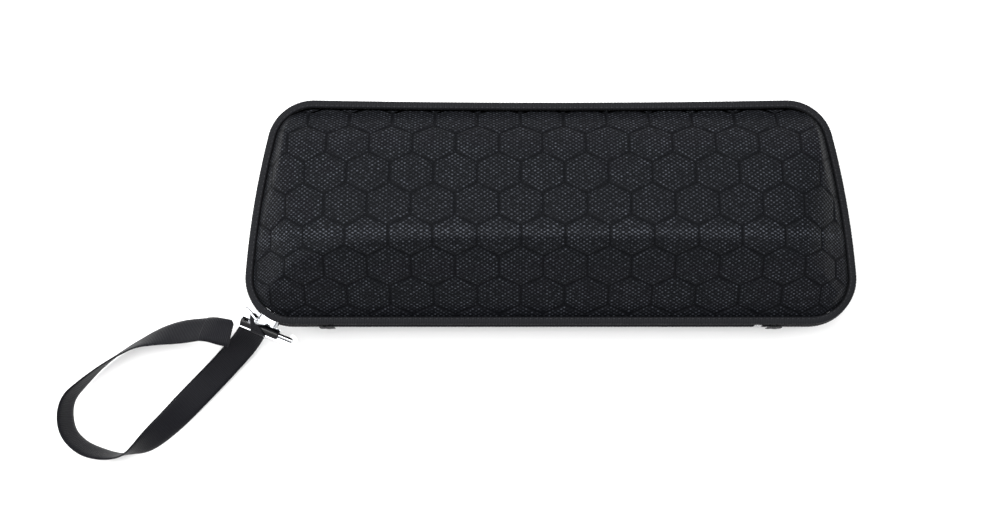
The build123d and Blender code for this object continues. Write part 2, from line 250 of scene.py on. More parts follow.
def weave_and_painted_glints(cloth, across, along):
    """Raised thread crossings in a staggered pattern, from 0 to 1, and painted glints on them, some much brighter than
    others.
    """
    crossing = (across * (2 * math.pi / dot_columns)).sine() * (along * (2 * math.pi / dot_rows)).sine() * 0.5 + 0.5
    speckle = (cloth.noise(1.0, 1.0) - 0.42).higher_of(0.0) * 4.6
    patches = cloth.noise(16.0, 1.0) * 0.7 + 0.55
    # the second value is painted glints: highlights on the thread crossings painted into the colour
    return crossing, crossing.power(4.0) * (speckle * patches + 0.12)


ridge_highlight_width = 7.0  # painted highlight: the glints are painted brighter this far each side of the ridge
cell_width = 21.4
cell_rows = 17.8
row_stretch = cell_width * math.sqrt(3) / 2 / cell_rows
first_cell = (-4.2, -2.5)


def cell_edge_distance(across, along):
    """How far a point of the cloth is from the nearest hexagon side, in millimetres. Works on numbers and channels."""
    wide, tall = cell_width, cell_width * math.sqrt(3)
    norms = []
    for shift in (0.0, 0.5):
        gx = (across + (wide * 500 - shift * wide - first_cell[0] + wide / 2)) % wide - wide / 2
        row_shift = tall * 500 - shift * tall - first_cell[1] * row_stretch + tall / 2
        gy = (along * row_stretch + row_shift) % tall - tall / 2
        gx, gy = (g.distance() if isinstance(g, Channel) else np.abs(g) for g in (gx, gy))
        slant = gx * 0.5 + gy * (math.sqrt(3) / 2)
        norms.append(gx.higher_of(slant) if isinstance(gx, Channel) else np.maximum(gx, slant))
    nearest = norms[0].lower_of(norms[1]) if isinstance(norms[0], Channel) else np.minimum(*norms)
    return wide / 2 - nearest


def basket_weave(name, pressed_lines):
    """The outer cloth. pressed_lines leaves the painted glints out of the grooves between the hexagons, as painted
    shade there, and paints a highlight along the ridge.
    """
    cloth = Material(name, cloth_dark, 0.55, specular=0.05, sheen=0.01)
    across, along = cloth.place_on_cloth()
    crossing, painted_glints = weave_and_painted_glints(cloth, across, along)
    if pressed_lines:
        edge = cell_edge_distance(across, along)
        # painted shade in the grooves: the painted glints fade out there
        flat = ((edge - 0.25) / 0.8).higher_of(0.0).lower_of(1.0)
        # painted highlight along the ridge, where the crest faces the light
        ridge_highlight = ((ridge_highlight_width - along.distance()) / ridge_highlight_width).higher_of(0.0)
        painted_glints = painted_glints * flat * (ridge_highlight * ridge_highlight * 1.6 + 1.0)
        crossing = crossing * (flat * 0.7 + 0.3)
    # base colour: the weave's dark colour lit up by the painted glints
    cloth.colour(painted_glints.lower_of(1.0), cloth_dark, painted_glint_colour)
    cloth.rough(0.66 - crossing * 0.2)
    cloth.relief(crossing, 0.3, 0.8)
    return cloth.data


def ribbed_tape(name, base, high, pitch, depth, roughness=0.6, across_ribs=True):
    """Grosgrain: fine ribs across the tape, from its own cloth map."""
    tape = Material(name, base, roughness, specular=0.12, sheen=0.02)
    along, across = tape.place_on_cloth()
    ribs = ripple(along if across_ribs else across, pitch)
    grain = tape.noise(0.6)
    tape.colour(ribs * 0.7 + grain * 0.3, base, high)
    tape.rough(roughness + 0.1 - ribs * 0.12)
    tape.relief(ribs + grain * 0.25, depth)
    return tape.data


hexagon_cloth = basket_weave("hexagon_cloth", True)
base_cloth = basket_weave("plain_cloth", False)
binding_tape = ribbed_tape("binding_tape", (0.0018, 0.002, 0.0026), (0.0105, 0.011, 0.0135), 0.85, 0.14)
zip_tape_cloth = ribbed_tape("zip_tape_cloth", (0.003, 0.003, 0.004), (0.011, 0.011, 0.013), 0.7, 0.1)
strap_webbing = ribbed_tape("strap_webbing", (0.0013, 0.0013, 0.0022), (0.0055, 0.0057, 0.0085), 0.9, 0.16, 0.5)
elastic_tape = ribbed_tape("elastic_tape", (0.006, 0.006, 0.007), (0.025, 0.025, 0.028), 1.1, 0.14)


def fleece(name, base, high):
    soft = Material(name, base, 0.9, specular=0.1, sheen=0.05)
    fibres = soft.noise(0.5, 4.0)
    soft.colour(fibres, base, high)
    soft.rough(0.82 + fibres * 0.15)
    soft.relief(fibres, 0.12)
    return soft.data


lining_cloth = fleece("lining_cloth", (0.006, 0.0062, 0.0075), (0.028, 0.029, 0.033))


def mesh_cloth():
    net = Material("pocket_net", (0.02, 0.02, 0.022), 0.6, specular=0.15)
    x, y, z = net.place_in_space()
    holes = ripple(x, 2.2) * ripple(y, 2.2)
    net.colour(holes, (0.03, 0.03, 0.033), (0.004, 0.004, 0.005))
    net.rough(0.5 + holes * 0.3)
    net.relief(1.0 - holes, 0.3)
    return net.data


pocket_net = mesh_cloth()

# %% [markdown]
# Metal and plastic. The slider, its pull and the clip are plated zinc: bright, with the soft waviness of a
# casting and faint smears. The barrel is smooth black plastic.

# %% Hard finishes


def plated(name, base=(0.44, 0.45, 0.47), roughness=0.09):
    metal = Material(name, base, roughness, metallic=1.0)
    waves = metal.noise(3.0)
    smears = metal.noise(1.2, 5.0)
    metal.colour(smears, tuple(0.86 * c for c in base), base)
    metal.rough(roughness * 0.7 + smears * 0.1)
    metal.relief(waves, 0.04, 0.5)
    return metal.data


chrome = plated("chrome")
steel = plated("steel", (0.5, 0.5, 0.51), 0.25)


def moulded(name, base, roughness, grain_mm=0.5, depth=0.02):
    plastic = Material(name, base, roughness, specular=0.25)
    grain = plastic.noise(grain_mm, 3.0)
    wear = plastic.noise(5.0)
    plastic.colour(wear, base, tuple(1.5 * c for c in base))
    plastic.rough(roughness + grain * 0.12)
    plastic.relief(grain, depth)
    return plastic.data


barrel_black = moulded("barrel_black", (0.0025, 0.0025, 0.003), 0.2)
coil_nylon = moulded("coil_nylon", (0.006, 0.006, 0.007), 0.32, 0.4, 0.015)
thread = moulded("thread", (0.014, 0.0145, 0.017), 0.5, 0.3, 0.03)
print("materials", len(bpy.data.materials))

# %% [markdown]
# The outline. Seen from above, the zip band is a rounded trapezoid: straight along the spine, bowed out at
# the ends, drawn in a little at the back. Every band, tape and tooth follows it, so it is worked out once,
# from five circles and a line, as points with their outward directions.

# %% Outline of the case
zip_z = 32.0  # height of the line where the two rows of teeth meet
half_depth = 57.5
front_half, middle_half, back_half = 153.0, 149.1, 137.2
back_bow = 1.6
corner = 24.0


def circle_through(a, b, c):
    """Centre x, centre y and radius of the circle through three points."""
    rows = np.array([[2 * (b[0] - a[0]), 2 * (b[1] - a[1])], [2 * (c[0] - a[0]), 2 * (c[1] - a[1])]])
    sums = np.array([b[0] ** 2 + b[1] ** 2 - a[0] ** 2 - a[1] ** 2, c[0] ** 2 + c[1] ** 2 - a[0] ** 2 - a[1] ** 2])
    x, y = np.linalg.solve(rows, sums)
    return x, y, math.hypot(a[0] - x, a[1] - y)


side_x, side_y, side_r = circle_through((front_half, -half_depth), (middle_half, 0), (back_half, half_depth))
_, back_y, back_r = circle_through((back_half, half_depth), (0, half_depth - back_bow), (-back_half, half_depth))
front_corner = (
    side_x + math.sqrt((side_r - corner) ** 2 - (-half_depth + corner - side_y) ** 2),
    -half_depth + corner,
)


def back_corner_centre():
    """The point at its right distance from both the side circle and the back circle."""
    gap = math.hypot(side_x, side_y - back_y)
    near, far = side_r - corner, back_r + corner
    along = (near**2 - far**2 + gap**2) / (2 * gap)
    off = math.sqrt(near**2 - along**2)
    unit = ((0 - side_x) / gap, (back_y - side_y) / gap)
    options = [
        (side_x + along * unit[0] - s * off * unit[1], side_y + along * unit[1] + s * off * unit[0]) for s in (1, -1)
    ]
    return max(options, key=lambda p: p[0])


back_corner = back_corner_centre()


def arc(centre, radius, start, end, step, outward=1.0):
    """Points and outward directions round an arc, both ends included."""
    count = max(2, int(abs(end - start) * radius / step) + 1)
    angles = np.linspace(start, end, count)
    ways = np.stack([np.cos(angles), np.sin(angles)], 1)
    return np.array(centre) + radius * ways, ways * outward


def outline(step=1.0):
    """The band's outline from the middle of the spine, counter-clockwise seen from above, closed."""
    side = (side_x, side_y)
    low_turn = math.atan2(front_corner[1] - side_y, front_corner[0] - side_x)
    high_turn = math.atan2(back_corner[1] - side_y, back_corner[0] - side_x)
    back_turn = math.atan2(back_corner[1] - back_y, back_corner[0])
    half = []
    line_x = np.arange(0, front_corner[0], step)
    half.append((np.stack([line_x, np.full_like(line_x, -half_depth)], 1), np.tile([0.0, -1.0], (len(line_x), 1))))
    half.append(arc(front_corner, corner, -math.pi / 2, low_turn, step))
    half.append(arc(side, side_r, low_turn, high_turn, step))
    half.append(arc(back_corner, corner, high_turn, back_turn + math.pi, step))
    half.append(arc((0, back_y), back_r, back_turn, -math.pi / 2, step, -1.0))
    points = np.concatenate([p[:-1] if k else p for k, (p, _) in enumerate(half)])
    ways = np.concatenate([w[:-1] if k else w for k, (_, w) in enumerate(half)])
    other, other_ways = points[::-1] * (-1, 1), ways[::-1] * (-1, 1)
    return np.concatenate([points, other[:-1]]), np.concatenate([ways, other_ways[:-1]])


fine_points, fine_ways = outline(0.5)
steps = np.linalg.norm(np.roll(fine_points, -1, 0) - fine_points, axis=1)
fine_along = np.concatenate([[0], np.cumsum(steps)])
perimeter = fine_along[-1]


def on_outline(distance):
    """Point and outward direction at each distance round the outline, from the middle of the spine."""
    at = np.mod(distance, perimeter)
    closed = np.concatenate([fine_points, fine_points[:1]])
    closed_ways = np.concatenate([fine_ways, fine_ways[:1]])
    point = np.stack([np.interp(at, fine_along, closed[:, k]) for k in (0, 1)], 1)
    way = np.stack([np.interp(at, fine_along, closed_ways[:, k]) for k in (0, 1)], 1)
    return point, way / np.linalg.norm(way, axis=1)[:, None]


print("outline", round(perimeter, 1), "mm round, corners at", np.round(front_corner, 2), np.round(back_corner, 2))

# %% [markdown]
# Mesh helpers. A piece is gathered as rings of points, joined into quads, and put into one mesh object.
# A cloth map in metres goes with it, so a weave keeps its real size wherever the cloth goes.

# %% Mesh helpers
millimetres = Matrix.Scale(mm, 4)


def add_mesh(name, points, faces, material, cloth=None, lap=0.0):
    """A mesh object from points in millimetres.

    cloth gives each point its place on the cloth in millimetres. lap is the length of a closed band, whose
    last faces would otherwise run back over all the cloth.
    """
    data = bpy.data.meshes.new(name)
    data.from_pydata([tuple(p) for p in np.asarray(points, float) * mm], [], [tuple(int(i) for i in f) for f in faces])
    data.shade_smooth()
    if cloth is not None:
        layer = data.uv_layers.new(name="cloth")
        corners = np.zeros(len(data.loops), int)
        data.loops.foreach_get("vertex_index", corners)
        places = np.asarray(cloth, float)[corners]
        if lap:
            quads = 4 * sum(len(f) == 4 for f in faces)
            run = places[:quads, 0].reshape(-1, 4)
            last = np.ptp(run, axis=1) > lap / 2
            run[last] = np.where(run[last] < lap / 2, run[last] + lap, run[last])
            places[:quads, 0] = run.ravel()
        layer.data.foreach_set("uv", (places * mm).ravel())
    data.materials.append(material)
    piece = bpy.data.objects.new(name, data)
    bpy.context.scene.collection.objects.link(piece)
    return piece


def grid_faces(rows, columns, wrap_rows=False, wrap_columns=False, start=0):
    """Quads between neighbouring rows and columns of a grid stored row by row."""
    down = np.arange(rows if wrap_rows else rows - 1)
    right = np.arange(columns if wrap_columns else columns - 1)
    r, c = (a.ravel() for a in np.meshgrid(down, right, indexing="ij"))
    r2, c2 = (r + 1) % rows, (c + 1) % columns
    return start + np.stack([r * columns + c, r2 * columns + c, r2 * columns + c2, r * columns + c2], 1)


def recalculate(piece):
    """Turns all faces outwards."""
    shape = bmesh.new()
    shape.from_mesh(piece.data)
    bmesh.ops.recalc_face_normals(shape, faces=shape.faces)
    shape.to_mesh(piece.data)
    shape.free()
    return piece


def band(name, section, material, start=0.0, end=None, step=1.0, closed=True):
    """Sweeps a closed section of (inset, height) points in millimetres along the outline.

    A closed band runs all the way round. An open one runs between two distances and has flat ends.
    """
    length = perimeter if closed else end - start
    count = int(length / step) + (0 if closed else 1)
    at = start + np.linspace(0, length, count, endpoint=not closed)
    points, ways = on_outline(at)
    section = np.array(section, float)
    rings = points[:, None, :] - ways[:, None, :] * section[None, :, 0:1]
    heights = np.broadcast_to(section[None, :, 1:2], (count, len(section), 1))
    around = np.concatenate([[0], np.cumsum(np.linalg.norm(np.diff(section, axis=0), axis=1))])
    cloth = np.stack(np.broadcast_arrays(at[:, None], around[None, :]), 2)
    faces = list(grid_faces(count, len(section), closed, True))
    if not closed:
        faces += [tuple(range(len(section))), tuple((count - 1) * len(section) + np.arange(len(section))[::-1])]
    shape = np.concatenate([rings, heights], 2).reshape(-1, 3)
    lap = perimeter if closed else 0.0
    return recalculate(add_mesh(name, shape, faces, material, cloth.reshape(-1, 2), lap=lap))


def pillow_section(inset_low, inset_high, low, high, rounding, count=5):
    """A rectangle of (inset, height) with rounded corners."""
    section = []
    quarter = math.pi / 2
    turns = (
        (inset_low, low, 2 * quarter),
        (inset_high, low, 3 * quarter),
        (inset_high, high, 0),
        (inset_low, high, quarter),
    )
    for inset, height, begin in turns:
        centre_inset = inset + (rounding if inset == inset_low else -rounding)
        centre_height = height + (rounding if height == low else -rounding)
        for t in begin + np.linspace(0, quarter, count):
            section.append((centre_inset + rounding * math.cos(t), centre_height + rounding * math.sin(t)))
    return section


def put_on(piece, body, slot_name, *nodes):
    """The piece rides on that body and stands for the CAD nodes. slot_name is not used."""
    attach(piece, body)
    if nodes:
        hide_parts(*nodes)
    return piece


print("one lap of cloth at 1 mm is", int(perimeter), "rings")

# %% [markdown]
# The lid. From the front it is a low gable: a steep face from the spine up to a sharp ridge, then a long
# gentle slope to the back, and both ends rounded down like the end of a loaf. One formula gives the height
# of any point: the lower of the front face and the blend of the top with the ends. A fine grid carries it.

# %% Height of the lid
rim_inset = 4.6
lid_rim = 36.7
ridge_y = -15.0
crown_height = 35.3


def front_line(y):
    """Height over the rim of the front face, slightly bellied, from the spine to past the ridge."""
    t = (y + 52.9) / (ridge_y + 52.9)
    belly = 1.18
    rising = crown_height * (belly * t - (belly - 1) * t * t)
    return np.where(t < 1.5, rising, crown_height * (belly * 1.5 - (belly - 1) * 2.25))


def back_line(y):
    """Height over the rim of the long slope behind the ridge, falling faster near the back edge."""
    t = np.clip((y - ridge_y) / (50.3 - ridge_y), -0.4, 1.2)
    return crown_height * (1 - 0.7 * t - 0.3 * np.clip(t, 0, None) ** 6)


# the rounded end: (distance in from the rim, height over the rim)
end_places = [
    (0, 1.5), (4, 6.4), (9, 11.2), (16, 18.2), (25, 24.4), (37, 28.4),
    (50, 30.8), (75, 33.4), (100, 34.7), (125, 35.2), (160, 35.4),
]
end_x = 148.4  # where that distance starts, from the middle of the case


def smooth_curve(places, x):
    """A smooth line through the places, by cubic pieces that never overshoot."""
    px, py = (np.array(c, float) for c in zip(*places))
    slopes = np.diff(py) / np.diff(px)
    bends = np.zeros_like(px)
    bends[1:-1] = 2 * slopes[:-1] * slopes[1:] / np.clip(slopes[:-1] + slopes[1:], 1e-9, None)
    bends[0], bends[-1] = 1.5 * slopes[0] - 0.5 * bends[1], 0.0
    i = np.clip(np.searchsorted(px, x) - 1, 0, len(px) - 2)
    width = px[i + 1] - px[i]
    t = np.clip((x - px[i]) / width, 0, 1)
    a, b = py[i], py[i + 1]
    return (
        (2 * t**3 - 3 * t**2 + 1) * a
        + (t**3 - 2 * t**2 + t) * width * bends[i]
        + (3 * t**2 - 2 * t**3) * b
        + (t**3 - t**2) * width * bends[i + 1]
    )


def softly_lower(a, b, softness):
    """The lower of two heights, rounded where they meet."""
    mix = np.clip(0.5 + 0.5 * (b - a) / softness, 0, 1)
    return b * (1 - mix) + a * mix - softness * mix * (1 - mix)


def inset_depth(x, y):
    """How far inside the outline a point is."""
    flat = np.stack([np.abs(x), y], -1).reshape(-1, 2)
    half = fine_points[fine_points[:, 0] >= -1.0]
    half_ways = fine_ways[fine_points[:, 0] >= -1.0]
    best = np.empty(len(flat))
    for block in range(0, len(flat), 20000):
        part = flat[block : block + 20000]
        gaps = ((part[:, None, :] - half[None, ::4, :]) ** 2).sum(2)
        nearest = gaps.argmin(1) * 4
        low, high = np.clip(nearest - 3, 0, None), np.clip(nearest + 4, None, len(half))
        closest = nearest.copy()
        least = np.full(len(part), 1e12)
        for shift in range(7):
            k = np.clip(low + shift, 0, len(half) - 1)
            gap = ((part - half[k]) ** 2).sum(1)
            better = gap < least
            least, closest = np.where(better, gap, least), np.where(better, k, closest)
        best[block : block + 20000] = -((part - half[closest]) * half_ways[closest]).sum(1)
    return best.reshape(np.shape(x))


def lid_height(x, y):
    """Height over the rim of the lid's outer cloth."""
    ends = smooth_curve(end_places, np.clip(end_x - np.abs(x), 0, end_places[-1][0]))
    top = softly_lower(back_line(y), ends, 9.0)
    roof = softly_lower(front_line(y), top, 1.6)
    foot = 1.5 + 2.3 * np.clip(inset_depth(x, y) - rim_inset, 0, None)
    return np.clip(softly_lower(roof, foot, 2.0), 0.0, None)


print("ridge height", round(float(lid_height(np.array([0.0]), np.array([ridge_y]))[0]), 2))

# %% [markdown]
# The cloth of the lid is patterned with pressed hexagons standing on a point, about 21 mm across. The
# pattern lies in cloth coordinates: distance along the crown one way, distance over the gable the other.
# The same hexagon formula dents the mesh here and shades the groove in the material.

# %% Hexagons pressed into the cloth
groove_half_width = 0.95
groove_depth = 0.5


def groove(across, along):
    """Depth of the pressed line, from 0 to 1."""
    t = np.clip(cell_edge_distance(across, along) / groove_half_width, 0, 1)
    return 0.5 + 0.5 * np.cos(np.pi * t)


def crown_run(x):
    """Distance along the cloth from the middle to x, over the crown and down the end."""
    line = np.linspace(0, 150, 601)
    rise = smooth_curve(end_places, np.clip(end_x - line, 0, end_places[-1][0]))
    run = np.concatenate([[0], np.cumsum(np.hypot(np.diff(line), np.diff(rise)))])
    return np.sign(x) * np.interp(np.abs(x), line, run)


def gable_run(y):
    """Distance over the cloth from the ridge to y, towards the back positive."""
    line = np.linspace(-56, 56, 897)
    rise = np.minimum(front_line(line), back_line(line))
    run = np.concatenate([[0], np.cumsum(np.hypot(np.diff(line), np.diff(rise)))])
    return np.interp(y, line, run) - np.interp(ridge_y, line, run)


# %% [markdown]
# The lid's grid has its rows across the case. Each row reaches exactly to the rim, so the edge is clean,
# and rows crowd together at the rounded corners. The outer sheet is fine enough to hold the grooves,
# and the hidden inside of the foam is coarse.

# %% Grid over the lid


def rim_rows(inset, spacing, count):
    """Row positions from front to back in millimetres, closer together round the corners."""
    radius = corner - inset
    turns = np.arange(0, 1.2, spacing * 1.05 / radius)
    near = radius * (1 - np.cos(turns[turns < 0.93]))
    edge = half_depth - inset
    middle = np.linspace(-edge + near[-1], edge - near[-1], count - 2 * len(near) + 2)
    return np.concatenate([-edge + near[:-1], middle, (edge - near[:-1])[::-1]])


def back_draw(row, x, inset):
    """How far a row is drawn in because the back edge is bowed."""
    share = np.clip(row / (half_depth - inset), 0, 1) ** 2
    return back_bow * share * (1 - np.clip(np.abs(x) / back_half, 0, 1) ** 2)


def rim_reach(row, inset):
    """Half the row's length at that inset."""
    ring = fine_points - fine_ways * inset
    right = ring[(fine_points[:, 0] > front_corner[0] - 0.01) | (fine_points[:, 0] > back_corner[0] - 0.5)]
    right = right[right[:, 0] > 100]
    right = right[np.argsort(right[:, 1])]
    reach = np.interp(row, right[:, 1], right[:, 0])
    for _ in range(4):
        reach = np.interp(row - back_draw(row, reach, inset), right[:, 1], right[:, 0])
    return reach


def lid_grid(inset, columns, rows, spacing):
    """Plan positions (rows, columns) of a grid that fills the outline at that inset."""
    row = rim_rows(inset, spacing, rows)
    reach = rim_reach(row, inset)
    spread = np.linspace(-1, 1, columns)
    spread = spread * (1.12 - 0.12 * spread**2)
    x = reach[:, None] * spread[None, :]
    y = row[:, None] - back_draw(row[:, None], x, inset)
    return x, y


def surface_normals(x, y, z):
    """Unit normals of a grid surface."""
    shape = np.stack([x, y, z], 2)
    down, across = np.gradient(shape, axis=0), np.gradient(shape, axis=1)
    normal = np.cross(across, down)
    return normal / np.maximum(np.linalg.norm(normal, axis=2), 1e-9)[..., None]


coarse_step = 8
lid_columns, lid_rows = coarse_step * 57 + 1, coarse_step * 22 + 1
lid_x, lid_y = lid_grid(rim_inset, lid_columns, lid_rows, 0.68)
lid_z = lid_height(lid_x, lid_y)
lid_depth = inset_depth(lid_x, lid_y)
lid_across, lid_along = crown_run(lid_x), gable_run(lid_y)
print("lid grid", lid_x.shape, "height", round(float(lid_z.max()), 2))

# %% [markdown]
# Behind the outer cloth is about 4 mm of foam, then a thin lining. The inside of a moulded shell follows
# the outside, so it is the same height lowered by the thickness, measured square to the surface.

# %% Lid cloth and lining
foam, lining = 4.0, 0.6


def inner_height(x, y, thickness):
    """The height over the rim of a surface that thick below the outer cloth."""
    step = 0.5
    slope_x = (lid_height(x + step, y) - lid_height(x - step, y)) / (2 * step)
    slope_y = (lid_height(x, y + step) - lid_height(x, y - step)) / (2 * step)
    return np.clip(lid_height(x, y) - thickness * np.sqrt(1 + slope_x**2 + slope_y**2), 0, None)


def edge_walk(columns, rows):
    """Grid indices round the edge of a grid, and their corners' order."""
    top = [(0, c) for c in range(columns - 1)]
    right = [(r, columns - 1) for r in range(rows - 1)]
    bottom = [(rows - 1, c) for c in range(columns - 1, 0, -1)]
    left = [(r, 0) for r in range(rows - 1, 0, -1)]
    return [r * columns + c for r, c in top + right + bottom + left]


def lid_sheet(name, material, outer, inner, step, across, along):
    """A closed sheet from an outer grid and an inner grid that has every step-th of its columns and rows."""
    (rows, columns), (few_rows, few_columns) = outer[0].shape, inner[0].shape
    points = np.concatenate([np.stack(outer, 2).reshape(-1, 3), np.stack(inner, 2).reshape(-1, 3)])
    outer_count = rows * columns
    faces = list(grid_faces(rows, columns)) + list(grid_faces(few_rows, few_columns, start=outer_count)[:, ::-1])
    many, few = edge_walk(columns, rows), edge_walk(few_columns, few_rows)
    for k in range(len(few)):
        fine = [many[(k * step + j) % len(many)] for j in range(step + 1)]
        faces.append((*fine[::-1], outer_count + few[k], outer_count + few[(k + 1) % len(few)]))
    cloth = np.stack([np.concatenate([way.ravel(), way[::step, ::step].ravel()]) for way in (across, along)], 1)
    return recalculate(add_mesh(name, points, faces, material, cloth))


def pressed_cloth():
    """The lid's outer surface, dented by the hexagons along its own normals."""
    normal = surface_normals(lid_x, lid_y, lid_z)
    fade = np.clip((lid_depth - rim_inset - 0.5) / 3.0, 0, 1)
    dent = groove_depth * groove(lid_across, lid_along) * fade
    quilt = 0.25 * np.clip(cell_edge_distance(lid_across, lid_along) / (cell_width / 2), 0, 1) ** 0.5 * fade
    moved = np.stack([lid_x, lid_y, lid_z], 2) + normal * (quilt - dent)[..., None]
    return moved[..., 0], moved[..., 1], np.clip(moved[..., 2], 0, None) + lid_rim


def inside_grid(thickness):
    """A coarse grid of the lid's inside at that thickness."""
    x, y = lid_grid(rim_inset + thickness, lid_columns // coarse_step + 1, lid_rows // coarse_step + 1, 5.4)
    height = inner_height(x, y, thickness)
    height[0], height[-1], height[:, 0], height[:, -1] = 0, 0, 0, 0
    return x, y, height + lid_rim


foam_inside = inside_grid(foam)
lid_cloth = lid_sheet("lid_cloth", hexagon_cloth, pressed_cloth(), foam_inside, coarse_step, lid_across, lid_along)
put_on(lid_cloth, "lid", "hex_fabric", "lid_fabric", "lid_shell")
lining_inside = inside_grid(foam + lining)
lid_inner = lid_sheet("lid_inner_lining", lining_cloth, foam_inside, lining_inside, 1, *foam_inside[:2])
put_on(lid_inner, "lid", "lining", "lid_lining")
print("lid cloth", len(lid_cloth.data.polygons), "faces")

# %% [markdown]
# The base is a shallow tray in the same cloth: a wall that leans in a little, a rounded bottom edge and a
# flat underside. It is swept along the outline as rings, each further in than the last.

# %% Base cloth and lining
base_rim = 27.3
wall_angle = math.radians(7.0)
foot_rounding = 8.0


def tray_profile(skin, spacing):
    """(inset, height) from the rim down the wall to the flat bottom, for a surface that far under the outer one."""
    radius = foot_rounding - skin
    lean = wall_angle
    inset_at = lambda z: rim_inset + skin / math.cos(lean) + (base_rim - z) * math.tan(lean)
    centre_z = skin + radius
    centre_inset = inset_at(centre_z + radius * math.sin(lean)) + radius * math.cos(lean)
    top_turn = math.pi + lean
    wall_end = (centre_inset - radius * math.cos(lean), centre_z + radius * math.sin(lean))
    wall_count = max(3, int((base_rim - wall_end[1]) / spacing))
    wall = [(inset_at(z), z) for z in np.linspace(base_rim, wall_end[1], wall_count)]
    turns = np.linspace(math.pi - lean, 1.5 * math.pi, max(4, int(radius * 1.6 / spacing)))[1:]
    foot = [(centre_inset + radius * math.cos(t), centre_z + radius * math.sin(t)) for t in turns]
    flat = [(centre_inset + extra, skin) for extra in (1.5, 4.0)]
    return np.array(wall + foot + flat)


def tray(name, material, outer_skin, inner_skin, spacing, step, pressed):
    """A closed tray between two skins, with the hexagons pressed into the outside if wanted."""
    count = int(perimeter / step)
    at = np.arange(count) * perimeter / count
    points, ways = on_outline(at)
    outer, inner = tray_profile(outer_skin, spacing), tray_profile(inner_skin, 2.5 * spacing)
    profile = np.concatenate([outer[::-1], inner])
    run = np.concatenate([[0], np.cumsum(np.linalg.norm(np.diff(outer, axis=0), axis=1))])
    columns = round(perimeter / cell_width)
    across = at / perimeter * columns * cell_width
    rings = points[None, :, :] - ways[None, :, :] * profile[:, 0, None, None]
    shape = np.concatenate([rings, np.broadcast_to(profile[:, 1, None, None], (*rings.shape[:2], 1))], 2)
    around = np.concatenate([-run[::-1], np.linspace(0, 30, len(inner))])
    if pressed:
        part = shape[: len(outer)]
        wrapped = np.concatenate([part[:, -1:], part, part[:, :1]], 1)
        normal = surface_normals(wrapped[..., 0], wrapped[..., 1], wrapped[..., 2])[:, 1:-1]
        middle = np.broadcast_to(np.array([0, 0, 20.0]), part.shape)
        normal *= np.sign(((part - middle) * normal).sum(2))[..., None]
        dent = groove_depth * groove(across[None, :], -run[::-1, None])
        fade = np.clip(run[::-1] / 2.5, 0, 1) * np.clip((profile[: len(outer), 1] - 0.2) / 2.0, 0, 1)
        shape[: len(outer)] -= normal * (dent * fade[:, None])[..., None]
    faces = list(grid_faces(len(profile), count, False, True))
    faces += [tuple(range(count)), tuple((len(profile) - 1) * count + np.arange(count)[::-1])]
    cloth = np.stack(np.broadcast_arrays(across[None, :], around[:, None]), 2).reshape(-1, 2)
    return recalculate(add_mesh(name, shape.reshape(-1, 3), faces, material, cloth, lap=columns * cell_width))


base_outer = tray("base_cloth_tray", hexagon_cloth, 0.0, foam, 0.8, 0.8, True)
put_on(base_outer, "base", "hex_fabric", "base_fabric", "base_shell")
base_inner = tray("base_inner_lining", lining_cloth, foam, foam + lining, 1.2, 2.0, False)
put_on(base_inner, "base", "lining", "base_lining")
lowest = min(v.co.z for v in base_outer.data.vertices) / mm
print("base", len(base_outer.data.polygons), "faces, low point", round(lowest, 3))

# %% [markdown]
# Both shells are bound with a ribbed tape folded over the raw edge and sewn through, so each rim shows a
# plump band with a line of stitches. Between them sit the two zip tapes and the two rows of nylon teeth.

# %% Bindings and stitches
binding_half_height = 1.5
binding_low = {"lid": lid_rim, "base": base_rim - 2 * binding_half_height}
binding_middle, binding_half_width = 2.62, 1.92  # how far in from the outline
squareness = 0.62  # 1 is an ellipse, lower is boxier
rope_pitch, rope_depth = 1.7, 0.05


def binding(body, low):
    """A plump band with a fine rope-like rib pressed into it by the sewing."""
    section = []
    for t in np.linspace(0, 2 * math.pi, 20, endpoint=False):
        c, s = math.cos(t), math.sin(t)
        section.append(
            (
                binding_middle - binding_half_width * math.copysign(abs(c) ** squareness, c),
                low + binding_half_height * (1 + math.copysign(abs(s) ** squareness, s)),
            )
        )
    piece = band(f"{body}_binding", section, binding_tape, step=0.42)
    ring = len(section)
    points = np.array([v.co for v in piece.data.vertices]).reshape(-1, ring, 3)
    middle = points.mean(1, keepdims=True)
    turn = np.arange(ring)[None, :] / ring
    lap = np.arange(len(points))[:, None] / len(points)
    ribs = rope_depth * np.cos(2 * math.pi * (lap * round(perimeter / rope_pitch) + turn * 2))
    away = (points - middle) / np.linalg.norm(points - middle, axis=2)[..., None]
    moved = points + away * ((ribs - rope_depth) * mm)[..., None]
    piece.data.vertices.foreach_set("co", moved.ravel())
    piece.data.update()
    return put_on(piece, body, "binding", f"{body}_rim_binding")


def stitches(name, inset, height, lean, start, end, pitch=2.6, long=1.9, thick=0.26):
    """A row of raised thread stitches along the outline."""
    at = np.arange(start, end, pitch)
    points, faces = [], []
    for k, distance in enumerate(at):
        along = distance + np.linspace(-long / 2, long / 2, 5)
        spots, ways = on_outline(along)
        for j in range(5):
            swell = thick * (0.35 + 0.65 * math.sin(math.pi * j / 4))
            for t in np.linspace(0, 2 * math.pi, 5, endpoint=False):
                offset = inset + swell * math.cos(t) * (1 - lean) - swell * math.sin(t) * lean
                spot = spots[j] - ways[j] * offset
                points.append((*spot, height + swell * math.sin(t) * (1 - lean * 0.5)))
        faces += list(grid_faces(5, 5, False, True, start=k * 25))
        faces += [tuple(k * 25 + np.arange(5)), tuple(k * 25 + 20 + np.arange(5)[::-1])]
    return recalculate(add_mesh(name, points, faces, thread))


